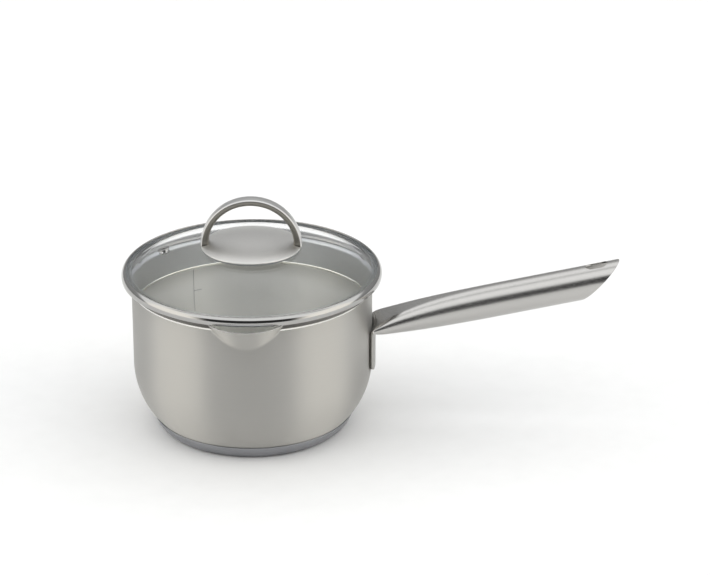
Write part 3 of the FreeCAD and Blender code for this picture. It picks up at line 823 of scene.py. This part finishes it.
def make_ring():
    """The rolled rim: a rounded outer band, a narrow inner lip and the skirt underneath."""
    def band(inset, start, stop, steps):
        """Part of the rounded band, between two heights."""
        radius = BAND_R - inset
        first = math.asin((start - BAND_Z) / radius)
        last = math.asin((stop - BAND_Z) / radius)
        return [(RING_R - BAND_R + radius * math.cos(first + (last - first) * n / steps),
                 BAND_Z + radius * math.sin(first + (last - first) * n / steps)) for n in range(steps + 1)]

    outer = band(0, RING_LOW_Z + 0.5 * MM, RING_TOP - 0.12 * MM, 20)
    inner = band(RING_SHEET, RING_TOP - LIP_DEPTH, RING_LOW_Z + 0.8 * MM, 14)
    outline = rounded([(SKIRT_R + RING_SHEET, SKIRT_LOW + 0.3 * MM, 0),
                       (SKIRT_R + 2.6 * MM, RING_LOW_Z, 1.0 * MM),
                       (outer[0][0] - 0.05 * MM, RING_LOW_Z, 0.5 * MM), outer[0] + (0,)], 6)
    outline += outer[1:]
    outline += rounded([outer[-1] + (0,), (outer[-1][0] - 0.25 * MM, RING_TOP, 0.2 * MM),
                        (LIP_R, RING_TOP, 0.35 * MM), (LIP_R, RING_TOP - LIP_DEPTH, 0.2 * MM),
                        (LIP_R + 0.5 * MM, RING_TOP - 0.7 * MM, 0.1 * MM), inner[0] + (0,)], 6)[1:]
    outline += inner[1:]
    outline += rounded([inner[-1] + (0,), (inner[-1][0] - 0.2 * MM, RING_LOW_Z + RING_SHEET, 0.4 * MM),
                        (SKIRT_R + 2.2 * MM, RING_LOW_Z + RING_SHEET, 0.5 * MM),
                        (SKIRT_R, SKIRT_LOW + 0.5 * MM, 0.3 * MM), (SKIRT_R + 0.05 * MM, SKIRT_LOW, 0.2 * MM),
                        (SKIRT_R + RING_SHEET, SKIRT_LOW + 0.3 * MM, 0)], 6)[1:-1]
    ring = lathe("lid_ring", outline, [RIM_STEEL], loop=True, segments=360)
    place(ring, "lid", "rim_steel", "lid_rim_ring")


def make_vent():
    """The vent's eyelet, rolled over at both ends of its barrel."""
    bore, barrel, flange = 1.5 * MM, 2.2 * MM, 4.0 * MM
    top = 0.95 * MM
    sheet = 0.75 * MM
    under = -GLASS_THICK - 0.5 * MM
    outline = rounded([
        (bore, 0, 0), (bore, top, 0.8 * MM), (flange, top, 0.5 * MM), (flange, 0.05 * MM, 0.2 * MM),
        (barrel, 0.05 * MM, 0), (barrel, under, 0), (flange - 0.4 * MM, under, 0.3 * MM),
        (flange - 0.4 * MM, under - sheet, 0.3 * MM), (bore, under - sheet, 0.4 * MM),
        (bore, under, 0)], 6)
    eyelet = lathe("vent_ring", outline, [RIM_STEEL], loop=True, segments=72)
    eyelet.data.transform(vent_frame())
    place(eyelet, "lid", "rim_steel", "vent_eyelet")


def make_knob():
    """The knob's domed plate, the bow over it and the gasket under its edge."""
    radius = PLATE_HIGH.x
    low, high = PLATE_LOW.z, PLATE_HIGH.z
    lip = low + KNOB_SHEET
    dome = (radius ** 2 + (high - lip) ** 2) / (2 * (high - lip))

    def plate_height(reach):
        return high - dome + math.sqrt(dome ** 2 - reach ** 2)

    outline = [Vector((radius * 0.985 * n / 24, plate_height(radius * 0.985 * n / 24))) for n in range(25)]
    outline += rounded([tuple(outline[-1]) + (0,), (radius, lip, 0.5 * MM), (radius, low, 0.2 * MM),
                        (radius - KNOB_SHEET, low, 0.1 * MM), (radius - KNOB_SHEET, lip - 0.5 * MM, 0)],
                       6)[1:]
    outline += [Vector(((radius - KNOB_SHEET) * n / 10, plate_height(radius * n / 10) - KNOB_SHEET))
                for n in range(9, -1, -1)]
    plate = lathe("knob_dome", outline, [KNOB_STEEL])
    place(plate, "lid", "knob_steel", "knob_plate")

    bow_r = ARCH_HIGH.x
    centre = ARCH_HIGH.z - bow_r
    deep = ARCH_HIGH.y - ARCH_LOW.y
    sink = plate_height(bow_r - 3.5 * MM) - centre - 0.5 * MM
    first = math.asin(sink / bow_r)
    rows, reaches = [], []
    steps = 96
    for n in range(steps + 1):
        angle = first + (math.pi - 2 * first) * n / steps
        low_share = (1 - math.sin(angle)) ** 2
        thick = BOW_THICK + BOW_FOOT_EXTRA * low_share
        wide = deep - BOW_NARROWING * low_share
        foot = max(0, 1 - min(n, steps - n) / 3) ** 2 * 0.6 * MM
        inner = bow_r - thick - foot
        half = wide / 2 + foot
        shoulder = bow_r - BOW_CROWN
        section = rounded([(inner - 0.1 * MM, 0, 0), (inner, half, BOW_SOFT), (shoulder, half, BOW_SOFT),
                           (bow_r, 0, 8 * MM), (shoulder, -half, BOW_SOFT), (inner, -half, BOW_SOFT),
                           (inner - 0.1 * MM, 0, 0)], 7)[:-1]
        reaches.append([point[0] for point in section])
        rows.append([Vector((reach * math.cos(angle), across, centre + reach * math.sin(angle)))
                     for reach, across in section])
    # Faces nearer the bow's inside than this take the painted dark reflection.
    dark_reflection_from = bow_r - 0.9 * MM
    bow = build("knob_bow", rows, [BOW_STEEL, BOW_DARK_REFLECTION],
                lambda strip, n: int(reaches[strip][n] < dark_reflection_from), sharp=50, caps=True)
    place(bow, "lid", "knob_steel", "knob_arch")

    edge = GASKET_HIGH.x
    inner = edge - 2.8 * MM
    gasket = rounded([(inner, dome_height(inner) + 0.02 * MM, 0),
                      (edge, dome_height(edge) + 0.02 * MM, 0.15 * MM),
                      (edge, GASKET_HIGH.z, 0.15 * MM), (inner, GASKET_HIGH.z, 0)], 4)
    place(lathe("knob_gasket", gasket, [GREY_SILICONE], loop=True), "lid", "silicone", "knob_gasket_upper")


# ---------------------------------------------------------------- what stays as the CAD made it


def dress_cad():
    """Finishes for the CAD nodes that are shown as they are."""
    steel_nodes = ("knob_nut", "knob_washer", "knob_stud", "handle_spot_welds", "base_core")
    silicone_nodes = ("glass_edge_seal", "vent_sleeve", "glass_bush", "knob_gasket_lower")
    for finish, nodes in ((FIXING_STEEL, steel_nodes), (GREY_SILICONE, silicone_nodes)):
        for node in nodes:
            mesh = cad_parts[node].data
            mesh.materials.clear()
            mesh.materials.append(finish)


# ---------------------------------------------------------------- stage, light and camera


def make_stage():
    """A wide sheet of white paper under the pan."""
    half = 12.0
    mesh = bpy.data.meshes.new("floor")
    steps = 8
    points = [(-half + 2 * half * x / steps, -half + 2 * half * y / steps, 0)
              for y in range(steps + 1) for x in range(steps + 1)]
    row = steps + 1
    corners = [y * row + x for y in range(steps) for x in range(steps)]
    faces = [(corner, corner + 1, corner + row + 1, corner + row) for corner in corners]
    mesh.from_pydata(points, [], faces)
    make = Shader("floor_paper")
    grain = make.noise(make.place(), 60.0, 3)
    make.join(make.tint(grain, (0.93, 0.93, 0.93), (0.95, 0.95, 0.95)), make.shader.inputs["Base Color"])
    make.shader.inputs["Roughness"].default_value = 0.9
    make.shader.inputs["Specular IOR Level"].default_value = 0.1
    mesh.materials.append(make.made)
    floor = bpy.data.objects.new("floor", mesh)
    bpy.context.scene.collection.objects.link(floor)


def make_light():
    """A studio as a sky: two bright panels overhead, front and back of a narrow gap, a bright card
    on the front half of each side, and a dim room in front and behind."""
    world = bpy.data.worlds.new("studio")
    world.use_nodes = True
    bpy.context.scene.world = world
    nodes, links = world.node_tree.nodes, world.node_tree.links

    def maths(operation, first, second=None):
        node = nodes.new("ShaderNodeMath")
        node.operation = operation
        for socket, value in zip(node.inputs, (first, second)):
            if isinstance(value, (int, float)):
                socket.default_value = value
            elif value is not None:
                links.new(value, socket)
        return node.outputs[0]

    def soft_step(value, start, stop):
        node = nodes.new("ShaderNodeMapRange")
        node.interpolation_type = "SMOOTHSTEP"
        node.inputs["From Min"].default_value = start
        node.inputs["From Max"].default_value = stop
        links.new(value, node.inputs["Value"])
        return node.outputs["Result"]

    split = nodes.new("ShaderNodeSeparateXYZ")
    links.new(nodes.new("ShaderNodeTexCoord").outputs["Generated"], split.inputs[0])
    x, y, z = split.outputs
    over = maths("DIVIDE", maths("ARCTAN2", z, maths("MULTIPLY", y, -1)), math.pi)
    room = nodes.new("ShaderNodeValToRGB")
    room.color_ramp.interpolation = "EASE"
    # each stop is an angle up from the horizon in front and over to the back, and how bright it is there
    stops = [(0, 0.05), (36, 0.02), (45, 1), (82, 1), (88, 0.45), (94, 0.45), (99, 1), (129, 0.95),
             (142, 0.32), (180, 0.26)]
    ramp = room.color_ramp.elements
    while len(ramp) < len(stops):
        ramp.new(0.5)
    for element, (angle, level) in zip(ramp, stops):
        element.position = angle / 180
        element.color = (level * 0.985, level * 0.995, level, 1)
    links.new(over, room.inputs["Fac"])
    card = maths("MULTIPLY", soft_step(maths("ABSOLUTE", x), 0.55, 0.8),
                 soft_step(maths("MULTIPLY", y, -1), -0.25, 0.0))
    mixed = nodes.new("ShaderNodeMix")
    mixed.data_type = "RGBA"
    links.new(card, mixed.inputs["Factor"])
    links.new(room.outputs["Color"], mixed.inputs["A"])
    mixed.inputs["B"].default_value = (1.22, 1.19, 1.12, 1)
    links.new(mixed.outputs["Result"], nodes["Background"].inputs["Color"])
    nodes["Background"].inputs["Strength"].default_value = 1.45


def make_camera():
    """A long lens from the front and above, aimed between the pan and its handle."""
    distance = 1.85
    pixels_per_metre = 1530
    picture_width = 710 / pixels_per_metre
    rise, turn = math.radians(23.31), math.radians(1.09)
    aim = Vector((0.06732, 0, 0.09421))
    back = Vector((math.sin(turn) * math.cos(rise), -math.cos(turn) * math.cos(rise), math.sin(rise)))
    data = bpy.data.cameras.new("camera")
    data.sensor_width = 36
    data.lens = data.sensor_width * distance / picture_width
    data.clip_start, data.clip_end = 0.05, 20
    camera = bpy.data.objects.new("camera", data)
    camera.location = aim + back * distance
    camera.rotation_euler = (-back).to_track_quat("-Z", "Y").to_euler()
    bpy.context.scene.collection.objects.link(camera)
    bpy.context.scene.camera = camera


make_camera()
make_light()
make_stage()
make_pan()
make_marks()
make_base()
make_handle()
make_glass()
make_ring()
make_vent()
make_knob()
dress_cad()
bpy.context.scene.view_settings.view_transform = "Standard"
bpy.context.scene.cycles.max_bounces = 20
bpy.context.scene.cycles.glossy_bounces = 12
bpy.context.scene.cycles.transmission_bounces = 16
